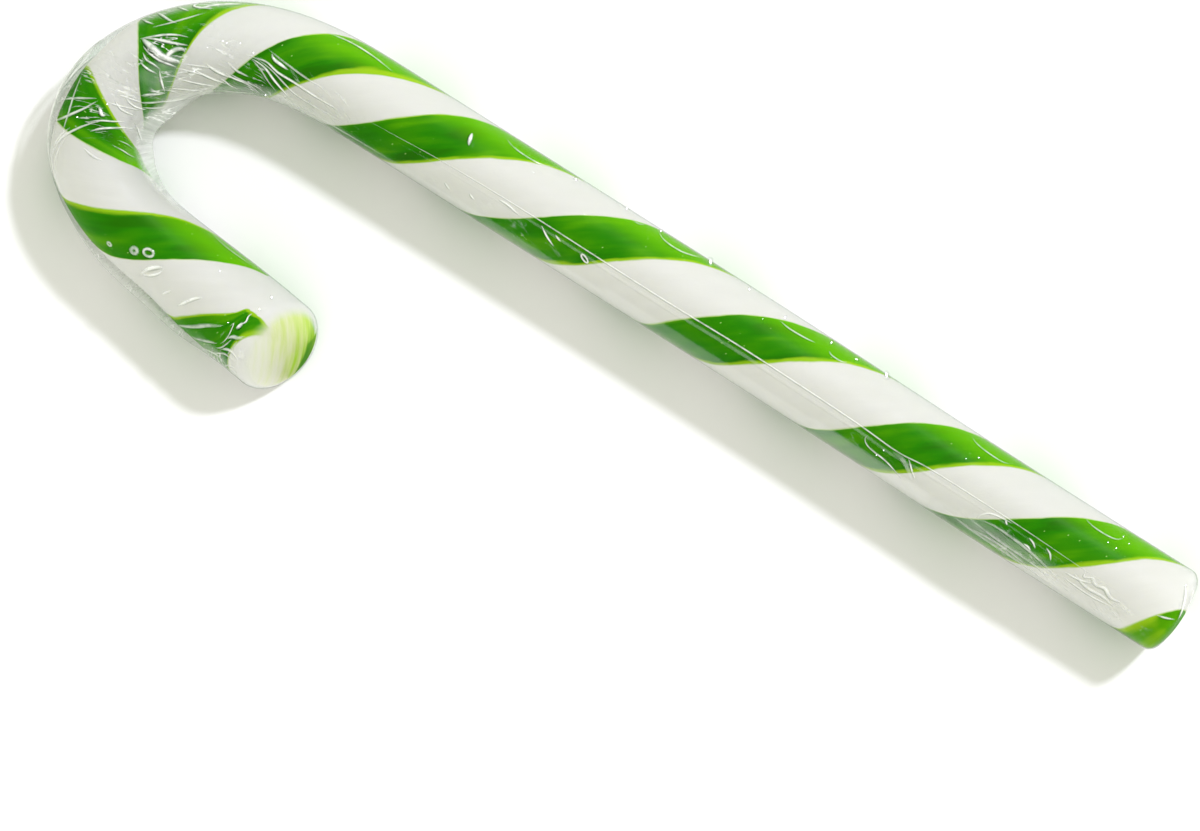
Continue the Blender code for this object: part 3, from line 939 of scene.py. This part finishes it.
def fold_material():
    """White along a ridge, partly creased film and partly painted highlight, broken up a little, and painted
    shade beside it.
    """
    nodes = Nodes("creased_film")
    where = nodes.add("ShaderNodeTexCoord").outputs["Object"]
    broken = nodes.spread(nodes.noise(where, 900.0, detail=2.0), 0.35, 0.55, 0.7, 1.15)
    alpha = nodes.math("MULTIPLY", nodes.attribute("whiteness"), broken, clamp=True)
    crease = nodes.add(
        "ShaderNodeBsdfPrincipled",
        {"Base Color": FOLD_WHITE_AND_HIGHLIGHT, "Roughness": 0.2, "Specular IOR Level": 0.8},
    )
    tint = nodes.mix(nodes.attribute("shade"), (1.0, 1.0, 1.0), PAINTED_SHADE_BESIDE_FOLD)
    clear = nodes.add("ShaderNodeBsdfTransparent", {"Color": tint})
    film = nodes.add("ShaderNodeMixShader", {0: alpha, 1: clear.outputs[0], 2: crease.outputs[0]})
    return nodes.finish(film.outputs[0])


def fold_ridges():
    """Each ridge on the film: (its path, width in mm, how white it is, whether its tips are pointed)."""
    under_seam = [(station, degrees + UNDER_SEAM_TURN) for station, degrees in SEAM[2:-1]]
    open_folds = ((*SEAM_LOOK, SEAM), (*UNDER_SEAM_LOOK, under_seam), *SHAFT_FOLDS, *CROOK_FOLDS, *LEG_FOLDS)
    ridges = [(smooth_path(places), width, white, True) for width, white, places in open_folds]
    for width, white, *oval in BLISTERS:
        ridges.append((blister_path(*oval), width, white, False))
    return ridges


def build_folds():
    points = []
    faces = []
    whiteness = []
    shades = []
    for path, width, strength, tapered in fold_ridges():
        rows, white, shade = fold_strip(path, FOLD_WIDENING * width * MM, tapered)
        faces += grid_faces(len(path), len(FOLD_PROFILE), first=len(points), closed=False)
        points += list(rows.reshape(-1, 3))
        whiteness += list((strength * white).ravel())
        shades += list((FOLD_SHADE * strength * shade).ravel())
    folds = add_piece("film_folds", points, faces, fold_material())
    add_attribute(folds, "whiteness", whiteness)
    add_attribute(folds, "shade", shades)


def build_glints(material):
    """Round dents in the film, each turned so that it mirrors the key light straight up."""
    towards_key = (
        math.cos(KEY_ELEVATION) * math.cos(KEY_AZIMUTH),
        math.cos(KEY_ELEVATION) * math.sin(KEY_AZIMUTH),
        math.sin(KEY_ELEVATION) + 1.0,
    )
    normal = np.array(towards_key) / np.linalg.norm(towards_key)
    first = np.cross(normal, (0.0, 0.0, 1.0))
    first /= np.linalg.norm(first)
    second = np.cross(normal, first)
    around = np.linspace(0.0, math.tau, GLINT_SIDES, endpoint=False)
    circle = np.cos(around)[:, None] * first + np.sin(around)[:, None] * second
    points = []
    faces = []
    for (station, degrees), size in GLINTS:
        where = (np.array(station * MM), np.array(math.radians(degrees)))
        middle = place(*where, film_radius(*where) + FILM_LIFT + GLINT_LIFT * size * MM)
        oval = 1 + GLINT_OVAL * np.sin(around * 2 + station)
        bulge = normal * GLINT_BULGE * size * MM
        start = len(points)
        points.append(middle + bulge)
        for share in GLINT_RINGS:
            rim = middle + (size * MM * share / 2 * oval)[:, None] * circle
            points += list(rim + bulge * (1 - share**2))
        inner = start + 1
        outer = inner + GLINT_SIDES
        for index in range(GLINT_SIDES):
            beside = (index + 1) % GLINT_SIDES
            faces.append((start, inner + beside, inner + index))
            faces.append((inner + index, inner + beside, outer + beside, outer + index))
    glints = add_piece("film_dents", points, faces, material)
    add_attribute(glints, "layers", np.ones(len(points)))
    add_attribute(glints, "sharpness", np.ones(len(points)))


def build_floor():
    nodes = Nodes("white_table")
    where = nodes.add("ShaderNodeTexCoord").outputs["Object"]
    colour = nodes.ramp(nodes.noise(where, TABLE_GRAIN), TABLE_WHITES)
    shader = nodes.add(
        "ShaderNodeBsdfPrincipled",
        {"Base Color": colour, "Roughness": 0.9, "Specular IOR Level": 0.0},
    )
    mesh = bpy.data.meshes.new("table_top")
    corners = [(x * TABLE_HALF, y * TABLE_HALF, 0.0) for x, y in ((-1, -1), (1, -1), (1, 1), (-1, 1))]
    mesh.from_pydata(corners, [], [(0, 1, 2, 3)])
    mesh.materials.append(nodes.finish(shader.outputs["BSDF"]))
    floor = add_object("table_top", mesh)


def light_scene():
    world = bpy.data.worlds.new("studio")
    world.use_nodes = True
    background = world.node_tree.nodes["Background"]
    background.inputs["Color"].default_value = (*FILL_COLOUR, 1.0)
    background.inputs["Strength"].default_value = FILL_STRENGTH
    world.cycles_visibility.glossy = False
    bpy.context.scene.world = world

    light = bpy.data.lights.new("key", "SUN")
    light.energy = KEY_STRENGTH
    light.angle = KEY_ANGLE
    light.color = KEY_COLOUR
    key = add_object("key", light)
    key.rotation_euler = (math.pi / 2 - KEY_ELEVATION, 0.0, KEY_AZIMUTH + math.pi / 2)

    light = bpy.data.lights.new("card", "AREA")
    light.shape = "RECTANGLE"
    light.size = CARD_SIZE[0]
    light.size_y = CARD_SIZE[1]
    light.energy = CARD_RADIANCE * math.pi * CARD_SIZE[0] * CARD_SIZE[1]
    card = add_object("card", light)
    bearing = KEY_AZIMUTH + math.pi
    level = CARD_DISTANCE * math.cos(CARD_ELEVATION)
    height = CARD_DISTANCE * math.sin(CARD_ELEVATION)
    card.location = (level * math.cos(bearing), level * math.sin(bearing), height)
    card.rotation_euler = (math.pi / 2 - CARD_ELEVATION, 0.0, bearing + math.pi / 2)
    bpy.context.scene.view_settings.view_transform = "Standard"


def add_camera():
    lens = bpy.data.cameras.new("camera")
    lens.lens = CAMERA_LENS
    lens.sensor_width = CAMERA_SENSOR
    lens.clip_start = CAMERA_NEAR
    camera = add_object("camera", lens)
    middle = (BOX_LOW + BOX_HIGH) / 2
    distance = VIEW_WIDTH * CAMERA_LENS / CAMERA_SENSOR
    camera.location = (middle[0] + CAMERA_AIM[0], middle[1] + CAMERA_AIM[1], ROD_RADIUS + distance)
    camera.rotation_euler = (0.0, 0.0, CAMERA_TURN)
    bpy.context.scene.camera = camera


add_camera()
light_scene()
build_floor()
build_candy()
FILM = film_material()
build_film(FILM)
build_folds()
build_glints(FILM)
